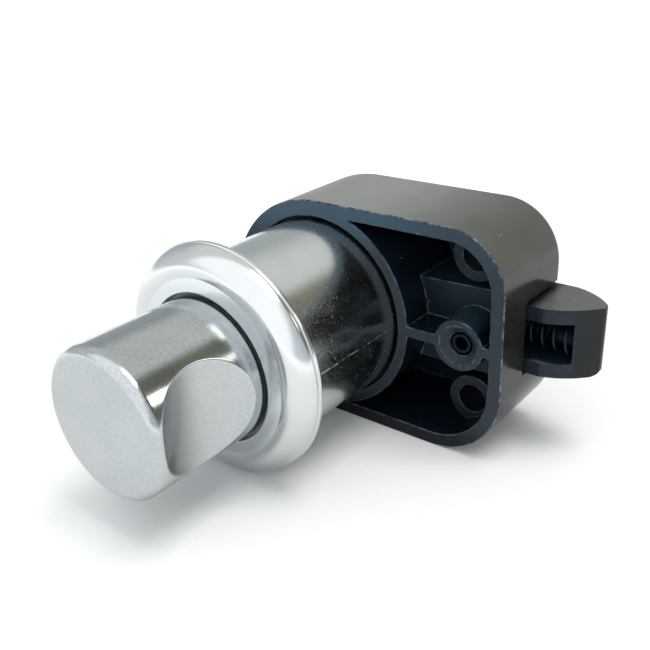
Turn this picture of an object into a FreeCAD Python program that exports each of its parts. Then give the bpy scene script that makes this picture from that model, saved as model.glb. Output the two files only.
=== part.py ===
import FreeCAD, Part
import os
import Sketcher

# A push-lock for a cabinet door: knob, rosette and sleeve through the door, case and tongue behind it.
# Frame: the knob's axis is the Y axis, Y = 0 is the door's inner face, where the case's rim lies.
# +Y points away from the door into the cabinet, +X the way the tongue points, +Z up. Millimetres.

# Each row: name, value. All are independent sizes, written once.
DRIVING = [
    # Door and rosette
    ("door_thickness", 18.0),
    ("rosette_margin", 1.55),
    ("rosette_edge", 0.95),
    ("bulge_width", 3.6),
    ("crease_rise", 3.05),
    ("bulge_share", 0.72),
    ("mouth_rise", 3.4),
    ("mouth_gap", 0.42),
    ("mouth_lip", 1.0),
    # Sleeve
    ("sleeve_radius", 12.5),
    ("sleeve_wall", 1.5),
    ("flange_width", 0.9),
    ("flange_thickness", 1.6),
    ("sleeve_lip", 0.8),
    ("seat_clearance", 0.03),
    # Knob
    ("knob_step", 1.8),
    ("knob_reach", 16.0),
    ("knob_dome", 0.2),
    ("knob_edge", 1.2),
    ("scoop_radius", 10.5),
    ("scoop_depth", 2.4),
    ("scoop_back", 7.8),
    ("knob_travel", 14.0),
    # Plunger and what drives it
    ("running_clearance", 0.07),
    ("guide_flange", 2.0),
    ("stem_radius", 7.0),
    ("stem_bore", 4.2),
    ("stem_play", 0.4),
    ("spigot_radius", 4.1),
    ("spigot_length", 5.6),
    ("track_depth", 1.6),
    ("track_width", 1.4),
    ("island_width", 1.1),
    ("wire_radius", 0.4),
    ("follower_lap", 1.7),
    ("follower_bend", 0.8),
    ("follower_reach", 2.9),
    ("bush_thickness", 2.0),
    ("clip_thickness", 0.8),
    ("clip_bite", 0.55),
    ("clip_band", 1.6),
    ("clip_opening", 5.0),
    ("coil_offset", 0.3),
    ("coil_wire", 0.45),
    ("coil_turns", 5.0),
    # Screw in the knob
    ("screw_radius", 1.4),
    ("screw_bite", 4.6),
    ("screw_head_radius", 3.2),
    ("screw_head_height", 2.2),
    ("screw_recess", 1.0),
    ("screw_socket", 1.1),
    # Snap ring between sleeve and hub
    ("snap_offset", 0.1),
    ("snap_wire", 0.4),
    ("snap_place", 1.4),
    # Case
    ("case_margin_top", 0.75),
    ("case_margin_bottom", 1.15),
    ("case_right", 27.7),
    ("case_depth", 15.4),
    ("case_wall", 1.8),
    ("corner_top", 7.8),
    ("corner_bottom", 9.85),
    ("back_edge", 1.2),
    ("floor_thickness", 1.8),
    ("hub_wall", 1.45),
    ("hub_gap", 0.35),
    ("hub_lap", 1.1),
    ("rib_thickness", 1.4),
    # Boss on the post's axis
    ("boss_across", 21.7),
    ("boss_radius", 3.35),
    ("boss_foot", 3.5),
    ("sink_radius", 2.65),
    ("sink_depth", 0.8),
    ("well_radius", 1.55),
    ("well_depth", 3.0),
    # Box round the tongue's channel
    ("box_front", 5.0),
    ("box_half", 5.65),
    ("box_rise", 0.5),
    ("box_skin", 1.0),
    ("channel_half", 4.75),
    ("channel_left", 8.4),
    ("mouth_half", 4.95),
    ("mouth_front", 5.85),
    ("post_width", 4.0),
    ("post_half", 2.3),
    # Screw tubes
    ("tube_across", 21.2),
    ("tube_inset", 5.05),
    ("tube_radius", 3.3),
    ("tube_bore", 1.93),
    ("tube_sink", 3.0),
    # Hollow pin in the post
    ("pin_radius", 1.25),
    ("pin_bore", 0.9),
    ("pin_front", 0.9),
    ("pin_wall", 0.9),
    # Back cover with its stakes
    ("cover_thickness", 0.7),
    ("cover_left", 3.0),
    ("cover_half", 6.6),
    ("cover_corner", 1.5),
    ("cover_play", 0.05),
    ("stake_left", 5.4),
    ("stake_right", 24.8),
    ("stake_up", 5.6),
    ("stake_radius", 0.55),
    ("stake_head", 0.85),
    ("stake_head_height", 0.4),
    # Tongue and its spring
    ("tongue_half", 4.6),
    ("tongue_play", 0.15),
    ("tongue_tail", 15.5),
    ("tongue_tip", 35.7),
    ("tongue_travel", 6.5),
    ("nose_front_start", 29.6),
    ("nose_back_start", 30.4),
    ("nose_front_share", 0.47),
    ("nose_back_share", 0.637),
    ("nose_inset", 0.3),
    ("nose_front_round", 1.5),
    ("nose_back_round", 1.58),
    ("nose_tip_round", 0.64),
    ("nose_corner_low", 0.9),
    ("nose_corner_high", 0.3),
    ("window_half", 2.7),
    ("window_right", 33.1),
    ("window_web", 1.55),
    ("peg_radius", 0.9),
    ("peg_gap", 0.3),
    ("spring_play", 0.5),
    ("spring_wire", 0.2),
    ("spring_turns", 6.0),
]

# Where the cover's stakes stand along the case; each stands above and below the channel.
STAKES = ("stake_left", "stake_right")

# Each row: name, formula. Sizes and places that follow from the driving ones.
DERIVED = [
    ("sleeve_bore", "sleeve_radius - sleeve_wall"),
    ("knob_radius", "sleeve_bore - knob_step"),
    ("coil_radius", "(sleeve_bore + stem_radius) / 2 + coil_offset"),
    ("snap_radius", "sleeve_radius + snap_offset"),
    ("hub_bore", "sleeve_radius + hub_gap"),
    ("hub_radius", "hub_bore + hub_wall"),
    ("hub_ledge", "sleeve_radius - hub_lap"),
    ("case_top", "hub_radius + case_margin_top"),
    ("case_bottom", "hub_radius + case_margin_bottom"),
    ("tube_up", "case_top - tube_inset"),
    ("flange_radius", "sleeve_radius + flange_width"),
    ("rosette_radius", "sleeve_radius + flange_width + rosette_margin"),
    ("crease_radius", "rosette_radius - bulge_width"),
    ("bulge_chord", "sqrt(bulge_width ^ 2 + (crease_rise - rosette_edge) ^ 2)"),
    ("bulge_radius", "bulge_share * bulge_chord"),
    ("rosette_back", "-door_thickness"),
    ("edge_front", "-door_thickness - rosette_edge"),
    ("crease_place", "-door_thickness - crease_rise"),
    ("mouth_place", "-door_thickness - mouth_rise"),
    ("lip_back", "-door_thickness - mouth_rise + mouth_lip"),
    ("mouth_radius", "knob_radius + mouth_gap"),
    ("flange_front", "-door_thickness - flange_thickness"),
    ("knob_front", "-door_thickness - mouth_rise - knob_reach"),
    ("knob_back", "-door_thickness - mouth_rise + mouth_lip"),
    ("flange_back", "-door_thickness - mouth_rise + mouth_lip + guide_flange"),
    ("clip_radius", "sleeve_radius - sleeve_wall + clip_bite"),
    ("screw_seat", "-door_thickness - mouth_rise + mouth_lip + guide_flange + screw_recess"),
    ("spigot_front", "-door_thickness - mouth_rise + mouth_lip - spigot_length"),
    ("hole_front", "-door_thickness - mouth_rise + mouth_lip - spigot_length - screw_bite"),
    ("floor_place", "case_depth - floor_thickness"),
    ("stem_end", "floor_place - knob_travel - stem_play"),
    ("follower_place", "stem_end - follower_lap"),
    ("bush_front", "follower_place + follower_reach"),
    ("bush_back", "bush_front + bush_thickness"),
    ("sleeve_entry", "max(bush_back + clip_thickness; snap_place + snap_wire) + sleeve_lip"),
    ("cover_place", "case_depth - cover_thickness"),
    ("cover_right", "case_right - back_edge"),
    ("channel_front", "box_front + box_skin"),
    ("tongue_front", "box_front + box_skin + tongue_play"),
    ("tongue_back", "case_depth - cover_thickness - tongue_play"),
    ("tongue_depth", "tongue_back - tongue_front"),
    ("nose_front_end", "tongue_front + nose_front_share * tongue_depth"),
    ("nose_back_end", "tongue_front + nose_back_share * tongue_depth"),
    ("nose_end", "tongue_tip - nose_inset"),
    ("nose_front_chord", "sqrt((nose_end - nose_front_start) ^ 2 + (nose_front_end - tongue_front) ^ 2)"),
    ("nose_back_chord", "sqrt((nose_end - nose_back_start) ^ 2 + (tongue_back - nose_back_end) ^ 2)"),
    ("nose_front_radius", "nose_front_round * nose_front_chord"),
    ("nose_back_radius", "nose_back_round * nose_back_chord"),
    ("nose_tip_radius", "nose_tip_round * (nose_back_end - nose_front_end)"),
    ("window_depth", "tongue_depth - window_web"),
    ("post_end", "tongue_front + window_depth - tongue_play"),
    ("peg_length", "window_right - post_face - tongue_travel - peg_gap"),
    ("pin_end", "post_end - pin_wall"),
    ("window_left", "boss_across - post_width / 2 - tongue_play"),
    ("post_face", "boss_across + post_width / 2"),
    ("spring_middle", "tongue_front + window_depth / 2"),
    ("spring_radius", "min(window_half; window_depth / 2) - spring_play - spring_wire"),
]


def fill_sheet(doc):
    sheet = doc.addObject("Spreadsheet::Sheet", "Sizes")
    row = 1
    for name, value in DRIVING:
        sheet.set("A%d" % row, name)
        sheet.set("B%d" % row, str(value))
        sheet.setAlias("B%d" % row, name)
        row += 1
    for name, formula in DERIVED:
        sheet.set("A%d" % row, name)
        sheet.set("B%d" % row, "=" + formula)
        sheet.setAlias("B%d" % row, name)
        row += 1
    doc.recompute()
    return sheet


class Piece:
    """One solid of the latch: a body with sketches whose sizes are bound to the sheet."""

    def __init__(self, doc, sheet, name):
        self.doc = doc
        self.sheet = sheet
        self.body = doc.addObject("PartDesign::Body", name)
        self.body.Label = name
        self.count = 0

    def number(self, formula):
        return float(self.sheet.evalExpression(self.bound(formula)))

    def bound(self, formula):
        """The formula with each size's name pointing at the sheet."""
        words = []
        word = ""
        for sign in formula + " ":
            if sign.isalnum() or sign == "_" or (sign == "." and word[:1].isdigit()):
                word += sign
                continue
            if word and word[0].isalpha():
                word = "Sizes." + word
            words.append(word + sign)
            word = ""
        return "".join(words).strip()

    def sketch(self, role, shift=("0", "0", "0")):
        """A sketch on an origin plane, moved along the plane's own axes by three formulas."""
        self.count += 1
        name = "%s_sketch_%d" % (self.body.Name, self.count)
        sketch = self.body.newObject("Sketcher::SketchObject", name)
        planes = [part for part in self.body.Origin.OriginFeatures if part.Role == role]
        sketch.AttachmentSupport = [(planes[0], "")]
        sketch.MapMode = "FlatFace"
        for axis, formula in zip("xyz", shift):
            if formula != "0":
                sketch.setExpression("AttachmentOffset.Base.%s" % axis, self.bound(formula))
        return sketch

    def facing(self, depth, across="0", up="0"):
        """A sketch parallel to the door at a depth behind its inner face."""
        return self.sheet_plane("XZ_Plane", across, up, "-(%s)" % depth)

    def plan(self, across="0", depth="0", height="0"):
        """A sketch seen from above: its sides run along X and Y."""
        return self.sheet_plane("XY_Plane", across, depth, height)

    def sheet_plane(self, role, first, second, third):
        return self.sketch(role, (first, second, third))

    def bind(self, sketch, constraint, formula):
        index = sketch.addConstraint(constraint)
        sketch.setExpression("Constraints[%d]" % index, self.bound(formula))

    def place(self, sketch, edge, end, point):
        across, up = point[0], point[1]
        self.bind(sketch, Sketcher.Constraint("DistanceX", -1, 1, edge, end, self.number(across)), across)
        self.bind(sketch, Sketcher.Constraint("DistanceY", -1, 1, edge, end, self.number(up)), up)

    def loop(self, sketch, corners):
        """A closed outline. A corner with a radius starts an arc to the next one; side is +1 where the
        arc's centre lies to the left of the way there, -1 where it lies to the right."""
        spots = [FreeCAD.Vector(self.number(c[0]), self.number(c[1]), 0) for c in corners]
        first = sketch.GeometryCount
        for index, corner in enumerate(corners):
            start = spots[index]
            stop = spots[(index + 1) % len(spots)]
            if len(corner) == 2:
                sketch.addGeometry(Part.LineSegment(start, stop), False)
                continue
            chord = stop - start
            radius = self.number(corner[2])
            left = FreeCAD.Vector(-chord.y, chord.x, 0).normalize() * corner[3]
            lift = (radius ** 2 - (chord.Length / 2) ** 2) ** 0.5
            top = (start + stop) * 0.5 - left * (radius - lift)
            ends = (start, stop) if corner[3] > 0 else (stop, start)
            sketch.addGeometry(Part.Arc(ends[0], top, ends[1]), False)
        for index, corner in enumerate(corners):
            edge = first + index
            backwards = len(corner) > 2 and corner[3] < 0
            self.place(sketch, edge, 2 if backwards else 1, corner)
            self.place(sketch, edge, 1 if backwards else 2, corners[(index + 1) % len(corners)])
            if len(corner) > 2:
                self.bind(sketch, Sketcher.Constraint("Radius", edge, self.number(corner[2])), corner[2])
        return sketch

    def box(self, sketch, left, right, low, high):
        return self.loop(sketch, [(left, low), (right, low), (right, high), (left, high)])

    def circle(self, sketch, across, up, radius):
        middle = FreeCAD.Vector(self.number(across), self.number(up), 0)
        round_edge = Part.Circle(middle, FreeCAD.Vector(0, 0, 1), self.number(radius))
        edge = sketch.addGeometry(round_edge, False)
        self.place(sketch, edge, 3, (across, up))
        self.bind(sketch, Sketcher.Constraint("Radius", edge, self.number(radius)), radius)
        return sketch

    def feature(self, kind, sketch, name):
        self.count += 1
        made = self.body.newObject("PartDesign::" + kind, "%s_%s_%d" % (self.body.Name, name, self.count))
        made.Profile = sketch
        sketch.Visibility = False
        return made

    def volume(self):
        self.doc.recompute()
        tip = self.body.Tip
        return tip.Shape.Volume if tip is not None else 0.0

    def pad(self, sketch, length, both_ways=False):
        """Adds material from the sketch towards the cabinet, or to both sides of a plan sketch."""
        before = self.volume()
        made = self.feature("Pad", sketch, "pad")
        made.setExpression("Length", self.bound(length))
        if both_ways:
            made.SideType = "Symmetric"
        else:
            made.Reversed = True
        self.expect(self.volume() > before + 1e-6, made)
        return made

    def pocket(self, sketch, length, both_ways=False):
        """Cuts from the sketch towards the cabinet, or to both sides of a plan sketch."""
        before = self.volume()
        made = self.feature("Pocket", sketch, "pocket")
        made.setExpression("Length", self.bound(length))
        if both_ways:
            made.SideType = "Symmetric"
        self.expect(self.volume() < before - 1e-6, made)
        return made

    def turn(self, sketch, angle=360.0):
        """Revolves a plan sketch about its upright axis."""
        before = self.volume()
        made = self.feature("Revolution", sketch, "turn")
        made.ReferenceAxis = (sketch, ["V_Axis"])
        made.Angle = angle
        self.expect(self.volume() > before + 1e-6, made)
        return made

    def groove(self, sketch):
        """Cuts by revolving a plan sketch about its upright axis."""
        before = self.volume()
        made = self.feature("Groove", sketch, "groove")
        made.ReferenceAxis = (sketch, ["V_Axis"])
        made.Angle = 360.0
        self.expect(self.volume() < before - 1e-6, made)
        return made

    def coil(self, sketch, axis, height, turns):
        made = self.feature("AdditiveHelix", sketch, "coil")
        made.ReferenceAxis = (sketch, [axis])
        made.Mode = "height-turns-angle"
        made.setExpression("Height", self.bound(height))
        made.setExpression("Turns", self.bound(turns))
        self.expect(self.volume() > 0, made)
        return made

    def mirror(self, role, features):
        before = self.volume()
        self.count += 1
        made = self.body.newObject("PartDesign::Mirrored", "%s_mirror_%d" % (self.body.Name, self.count))
        made.Originals = features
        planes = [part for part in self.body.Origin.OriginFeatures if part.Role == role]
        made.MirrorPlane = (planes[0], [""])
        self.body.Tip = made
        self.expect(abs(self.volume() - before) > 1e-6, made)
        return made

    def fillet(self, radius, chosen):
        """Rounds the edges that the test picks."""
        self.doc.recompute()
        base = self.body.Tip
        edges = base.Shape.Edges
        names = ["Edge%d" % (index + 1) for index, edge in enumerate(edges) if chosen(edge)]
        self.expect(bool(names), base)
        self.count += 1
        made = self.body.newObject("PartDesign::Fillet", "%s_fillet_%d" % (self.body.Name, self.count))
        made.Base = (base, names)
        made.setExpression("Radius", self.bound(radius))
        self.volume()
        return made

    def expect(self, good, feature):
        if not good or "Invalid" in feature.State:
            raise ValueError("%s changed nothing or failed" % feature.Name)


def case_outline(inset):
    """The case's D shape: round on the knob's side, two rounded corners at the tongue's end."""
    top = "case_top - %s" % inset
    low = "%s - case_bottom" % inset
    right = "case_right - %s" % inset
    radius = "(case_top + case_bottom) / 2 - %s" % inset
    middle = "(case_top - case_bottom) / 2"
    return [
        ("0", top, radius, 1),
        ("-(%s)" % radius, middle, radius, 1),
        ("0", low),
        ("case_right - corner_bottom", low, "corner_bottom - %s" % inset, 1),
        (right, "corner_bottom - case_bottom"),
        (right, "case_top - corner_top", "corner_top - %s" % inset, 1),
        ("case_right - corner_top", top),
    ]


def at_depth(depth):
    """Picks the edges that lie wholly at one depth."""
    return lambda edge: all(abs(spot.Point.y - depth) < 1e-4 for spot in edge.Vertexes)


def make_housing(piece):
    # Shell with a rounded back edge, hollow towards the door
    piece.pad(piece.loop(piece.facing("0"), case_outline("0")), "case_depth")
    piece.fillet("back_edge", at_depth(piece.number("case_depth")))
    piece.pocket(piece.loop(piece.facing("0"), case_outline("case_wall")), "floor_place")

    # Hub ring, box round the channel, boss, ribs and screw tubes
    piece.pad(piece.circle(piece.facing("0"), "0", "0", "hub_radius"), "floor_place")
    front = piece.facing("box_front")
    piece.loop(front, [
        ("hub_ledge", "-box_half"),
        ("case_right - case_wall / 2", "-box_half"),
        ("case_right - case_wall / 2", "box_half + box_rise"),
        ("hub_ledge", "box_half"),
    ])
    piece.pad(front, "floor_place - box_front")
    boss = piece.plan("boss_across")
    piece.loop(boss, [
        ("0", "0"),
        ("boss_radius", "0"),
        ("boss_foot", "channel_front"),
        ("0", "channel_front"),
    ])
    piece.turn(boss)
    ribs = piece.facing("0")
    half = "rib_thickness / 2"
    piece.box(ribs, "hub_bore", "boss_across - boss_radius / 2", "-(%s)" % half, half)
    piece.pad(ribs, "channel_front")
    end_rib = piece.facing("0")
    piece.box(end_rib, "boss_across + boss_radius / 2", "case_right - case_wall / 2", "-(%s)" % half, half)
    piece.pad(end_rib, "channel_front")
    tube = piece.facing("box_front")
    piece.circle(tube, "tube_across", "tube_up", "tube_radius")
    tube_pad = piece.pad(tube, "floor_place - box_front")
    piece.mirror("XY_Plane", [tube_pad])

    # Hub bore with the ledge that the sleeve rests on, and the groove of the snap ring
    piece.pocket(piece.circle(piece.facing("0"), "0", "0", "hub_bore"), "sleeve_entry")
    piece.pocket(piece.circle(piece.facing("0"), "0", "0", "hub_ledge"), "floor_place")
    ring = piece.plan()
    low = "snap_place - snap_wire"
    high = "snap_place + snap_wire"
    piece.box(ring, "hub_bore - case_wall / 2", "snap_radius + snap_wire", low, high)
    piece.groove(ring)

    # Channel of the tongue, open at the back, and its mouth in the end wall
    channel = piece.facing("channel_front")
    piece.box(channel, "channel_left", "case_right + case_wall", "-channel_half", "channel_half")
    piece.pocket(channel, "case_depth - channel_front")
    mouth = piece.facing("mouth_front")
    piece.box(mouth, "case_right - case_wall", "case_right + case_wall", "-mouth_half", "mouth_half")
    piece.pocket(mouth, "case_depth - mouth_front")

    # Recess of the back cover
    recess = piece.facing("cover_place")
    half = "cover_half + cover_play"
    piece.loop(recess, cover_outline("cover_left - cover_play", "cover_right + cover_play", half))
    piece.pocket(recess, "cover_thickness + case_wall")

    # Post in the channel, with the stepped blind bore of the pin and its countersink
    post = piece.facing("box_front")
    piece.box(post, "boss_across - post_width / 2", "post_face", "-post_half", "post_half")
    piece.pad(post, "post_end - box_front")
    bore = piece.plan("boss_across")
    narrow = "pin_radius + seat_clearance"
    piece.loop(bore, [
        ("0", "0"),
        ("sink_radius", "0"),
        ("well_radius", "sink_depth"),
        ("well_radius", "well_depth"),
        (narrow, "well_depth"),
        (narrow, "pin_end"),
        ("0", "pin_end"),
    ])
    piece.groove(bore)

    # Screw holes, countersunk at the back
    hole = piece.plan("tube_across", "0", "tube_up")
    piece.loop(hole, [
        ("0", "0"),
        ("tube_bore", "0"),
        ("tube_bore", "case_depth - tube_sink + tube_bore"),
        ("tube_sink", "case_depth"),
        ("0", "case_depth"),
    ])
    hole_cut = piece.groove(hole)
    piece.mirror("XY_Plane", [hole_cut])

    # Stakes that hold the cover, with their heads formed over it
    top = "case_depth + stake_head_height"
    for across in STAKES:
        stake = piece.plan(across, "0", "stake_up")
        piece.loop(stake, [
            ("0", "floor_place"),
            ("stake_radius", "floor_place"),
            ("stake_radius", "case_depth"),
            ("stake_head", "case_depth"),
            ("stake_head * 0.6", top),
            ("0", top),
        ])
        stake_turn = piece.turn(stake)
        piece.mirror("XY_Plane", [stake_turn])


def cover_outline(left, right, half):
    """A plate whose left corners are round."""
    return [
        (left, "-(%s) + cover_corner" % half, "cover_corner", 1),
        ("%s + cover_corner" % left, "-(%s)" % half),
        (right, "-(%s)" % half),
        (right, half),
        ("%s + cover_corner" % left, half, "cover_corner", 1),
        (left, "%s - cover_corner" % half),
    ]


def make_rear_cover(piece):
    plate = piece.facing("cover_place")
    piece.loop(plate, cover_outline("cover_left", "cover_right", "cover_half"))
    for across in STAKES:
        for up in ("stake_up", "-stake_up"):
            piece.circle(plate, across, up, "stake_radius + seat_clearance")
    piece.pad(plate, "cover_thickness")


def make_post_pin(piece):
    # Hollow pin pressed in from the front, down to the end of its bore
    section = piece.plan("boss_across")
    piece.box(section, "pin_bore", "pin_radius", "pin_front", "pin_end")
    piece.turn(section)


def make_tongue(piece):
    # Outline seen from above: straight body, nose curved on both faces to ride over a strike
    outline = piece.plan()
    end = "nose_end"
    piece.loop(outline, [
        ("tongue_tail", "tongue_front"),
        ("nose_front_start", "tongue_front", "nose_front_radius", 1),
        (end, "nose_front_end", "nose_tip_radius", 1),
        (end, "nose_back_end", "nose_back_radius", 1),
        ("nose_back_start", "tongue_back"),
        ("tongue_tail", "tongue_back"),
    ])
    piece.pad(outline, "2 * tongue_half", both_ways=True)

    # Window in the front face round the post and the spring
    window = piece.facing("tongue_front - case_wall")
    piece.box(window, "window_left", "window_right", "-window_half", "window_half")
    piece.pocket(window, "window_depth + case_wall")

    # Peg that centres the spring, rooted in the nose
    peg = piece.sketch("YZ_Plane", ("0", "0", "window_right + peg_radius"))
    piece.circle(peg, "spring_middle", "0", "peg_radius")
    piece.pad(peg, "peg_length + peg_radius")

    # Rounded corners of the nose, the lower one larger
    corners = (("-tongue_half", "nose_corner_low", 1), ("tongue_half", "nose_corner_high", -1))
    for level, radius, turn in corners:
        corner = piece.facing("0")
        inward = "%s + %d * %s" % (level, turn, radius)
        outward = "%s - %d * case_wall" % (level, turn)
        piece.loop(corner, [
            ("tongue_tip - %s" % radius, level, radius, turn),
            ("tongue_tip", inward),
            ("tongue_tip + case_wall", inward),
            ("tongue_tip + case_wall", outward),
            ("tongue_tip - %s" % radius, outward),
        ])
        piece.pocket(corner, "case_depth")


def make_rosette(piece):
    # Turned ring: bulge, crease, inner band, mouth, and the seat of the sleeve's flange behind
    section = piece.plan()
    seat = "flange_radius + seat_clearance"
    piece.loop(section, [
        (seat, "rosette_back"),
        ("rosette_radius", "rosette_back"),
        ("rosette_radius", "edge_front", "bulge_radius", -1),
        ("crease_radius", "crease_place"),
        ("mouth_radius", "mouth_place"),
        ("mouth_radius", "lip_back"),
        ("sleeve_bore", "lip_back"),
        ("sleeve_bore", "flange_front"),
        (seat, "flange_front"),
    ])
    piece.turn(section)


def make_sleeve(piece):
    section = piece.plan()
    groove_low = "snap_place - snap_wire"
    groove_high = "snap_place + snap_wire"
    groove = "snap_radius - snap_wire"
    piece.loop(section, [
        ("sleeve_bore", "flange_front"),
        ("flange_radius", "flange_front"),
        ("flange_radius", "rosette_back"),
        ("sleeve_radius", "rosette_back"),
        ("sleeve_radius", groove_low),
        (groove, groove_low),
        (groove, groove_high),
        ("sleeve_radius", groove_high),
        ("sleeve_radius", "sleeve_entry"),
        ("sleeve_bore", "sleeve_entry"),
        ("sleeve_bore", "bush_back + clip_thickness"),
        ("clip_radius", "bush_back + clip_thickness"),
        ("clip_radius", "bush_back"),
        ("sleeve_bore", "bush_back"),
    ])
    piece.turn(section)


def make_knob(piece):
    # Turned button with a slight dome, a rounded edge and a blind hole behind
    section = piece.plan()
    rim = "knob_radius - knob_edge"
    face = "knob_front + knob_dome"
    piece.loop(section, [
        ("0", "knob_front"),
        ("0", "hole_front"),
        ("screw_radius + seat_clearance", "hole_front"),
        ("screw_radius + seat_clearance", "spigot_front"),
        ("spigot_radius + seat_clearance", "spigot_front"),
        ("spigot_radius + seat_clearance", "knob_back"),
        ("knob_radius", "knob_back"),
        ("knob_radius", "%s + knob_edge" % face, "knob_edge", -1),
        (rim, face),
    ])
    piece.turn(section)

    # Finger scoops on both flanks
    scoop = piece.plan()
    across = "knob_radius - scoop_depth + scoop_radius"
    piece.circle(scoop, across, "knob_front + scoop_back", "scoop_radius")
    cut = piece.pocket(scoop, "3 * knob_radius", both_ways=True)
    piece.mirror("YZ_Plane", [cut])


def make_plunger(piece):
    # Spigot for the knob, guide flange, hollow stem
    section = piece.plan()
    bore = "screw_radius + seat_clearance"
    piece.loop(section, [
        (bore, "spigot_front"),
        ("spigot_radius", "spigot_front"),
        ("spigot_radius", "knob_back"),
        ("sleeve_bore - running_clearance", "knob_back"),
        ("sleeve_bore - running_clearance", "flange_back"),
        ("stem_radius", "flange_back"),
        ("stem_radius", "stem_end"),
        ("stem_bore", "stem_end"),
        ("stem_bore", "screw_seat"),
        (bore, "screw_seat"),
    ])
    piece.turn(section)

    # Push-push track in the stem's left side: a straight lane out, a lane back round a heart-shaped
    # island, whose notch is where the follower's tip rests while the knob is in
    lane = "track_width / 2"
    far = "-(%s) - island_width - track_width" % lane
    start = "follower_place + track_width"
    fork = "follower_place - knob_travel * 0.35"
    crest = "follower_place - knob_travel * 0.85"
    end = "follower_place - knob_travel - track_width"
    track = piece.sketch("YZ_Plane", ("0", "0", "track_depth - stem_radius"))
    piece.loop(track, [
        (start, lane),
        (start, "-(%s)" % lane),
        (fork, "-(%s)" % lane),
        ("(%s + %s) / 2 + track_width" % (fork, crest), far),
        (end, far),
        (end, lane),
    ])
    notch = "%s + track_width" % crest
    tip = "(%s + %s) / 2 + track_width" % (fork, crest)
    inner = "-(%s)" % lane
    outer = "-(%s) - island_width" % lane
    piece.loop(track, [
        ("%s - track_width" % fork, "%s - track_width / 4" % inner),
        ("%s - track_width / 2" % tip, outer),
        (crest, outer),
        (notch, "(%s + %s) / 2" % (inner, outer)),
        (crest, inner),
    ])
    piece.pocket(track, "stem_radius")


def make_guide_bush(piece):
    section = piece.plan()
    inner = "stem_radius + running_clearance"
    outer = "sleeve_bore - seat_clearance"
    piece.box(section, inner, outer, "bush_front", "bush_back")
    piece.turn(section)
    hole = piece.facing("bush_front")
    piece.circle(hole, "-(%s)" % LEG_PLACE, "0", "wire_radius + seat_clearance")
    piece.pocket(hole, "bush_thickness")


# The follower's leg lies close along the stem
LEG_PLACE = "stem_radius + running_clearance + 1.5 * wire_radius"


def make_retaining_ring(piece):
    section = piece.plan()
    outer = "clip_radius - seat_clearance"
    piece.box(section, "clip_radius - clip_band", outer, "bush_back", "bush_back + clip_thickness")
    piece.turn(section)
    opening = piece.facing("bush_back")
    piece.box(opening, "-clip_opening / 2", "clip_opening / 2", "-2 * clip_radius", "0")
    piece.pocket(opening, "clip_thickness")


def make_snap_ring(piece):
    section = piece.plan()
    piece.circle(section, "snap_radius", "snap_place", "snap_wire")
    piece.turn(section, 345.0)


def make_cam_follower(piece):
    # Wire leg from the bush along the stem, bent inwards so that its tip runs in the track
    leg = "-(%s)" % LEG_PLACE
    path = piece.plan()
    corner = "follower_place"
    points = [
        (leg, "bush_back"),
        (leg, "%s + follower_bend" % corner, "follower_bend", 1),
        ("%s + follower_bend" % leg, corner),
        ("track_depth - stem_radius - running_clearance", corner),
    ]
    spots = [FreeCAD.Vector(piece.number(p[0]), piece.number(p[1]), 0) for p in points]
    middle = spots[1] + FreeCAD.Vector(spots[2].x - spots[1].x, 0, 0)
    radius = piece.number("follower_bend")
    bend = middle - FreeCAD.Vector(radius, radius, 0) * 0.5 ** 0.5
    path.addGeometry(Part.LineSegment(spots[0], spots[1]), False)
    path.addGeometry(Part.Arc(spots[1], bend, spots[2]), False)
    path.addGeometry(Part.LineSegment(spots[2], spots[3]), False)
    piece.place(path, 0, 1, points[0])
    piece.place(path, 0, 2, points[1])
    begins = 1 if (path.Geometry[1].StartPoint - spots[1]).Length < 1e-6 else 2
    piece.place(path, 1, begins, points[1])
    piece.place(path, 1, 3 - begins, points[2])
    piece.bind(path, Sketcher.Constraint("Radius", 1, radius), "follower_bend")
    piece.place(path, 2, 1, points[2])
    piece.place(path, 2, 2, points[3])
    section = piece.facing("bush_back")
    piece.circle(section, leg, "0", "wire_radius")
    made = piece.feature("AdditivePipe", section, "wire")
    made.Spine = (path, ["Edge1", "Edge2", "Edge3"])
    piece.expect(piece.volume() > 0, made)


def make_knob_screw(piece):
    section = piece.plan()
    head = "screw_seat + screw_head_height"
    piece.loop(section, [
        ("0", "hole_front + screw_radius / 2"),
        ("screw_radius * 0.5", "hole_front + screw_radius / 2"),
        ("screw_radius", "hole_front + screw_radius * 1.5"),
        ("screw_radius", "screw_seat"),
        ("screw_head_radius", "screw_seat"),
        ("screw_head_radius", "screw_seat + screw_head_height * 0.5"),
        ("screw_head_radius * 0.7", head),
        ("0", head),
    ])
    piece.turn(section)

    # Cross recess
    for wide, tall in (("screw_socket", "screw_socket * 0.3"), ("screw_socket * 0.3", "screw_socket")):
        arm = piece.facing(head + " - screw_head_height * 0.6")
        piece.box(arm, "-(%s)" % wide, wide, "-(%s)" % tall, tall)
        piece.pocket(arm, "screw_head_height")


def make_knob_spring(piece):
    section = piece.plan()
    piece.circle(section, "coil_radius", "flange_back + coil_wire", "coil_wire")
    piece.coil(section, "V_Axis", "bush_front - flange_back - 2 * coil_wire", "coil_turns")


def make_tongue_spring(piece):
    section = piece.plan("0", "spring_middle")
    piece.circle(section, "post_face + spring_wire", "spring_radius", "spring_wire")
    piece.coil(section, "H_Axis", "window_right - post_face - 2 * spring_wire", "spring_turns")


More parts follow.
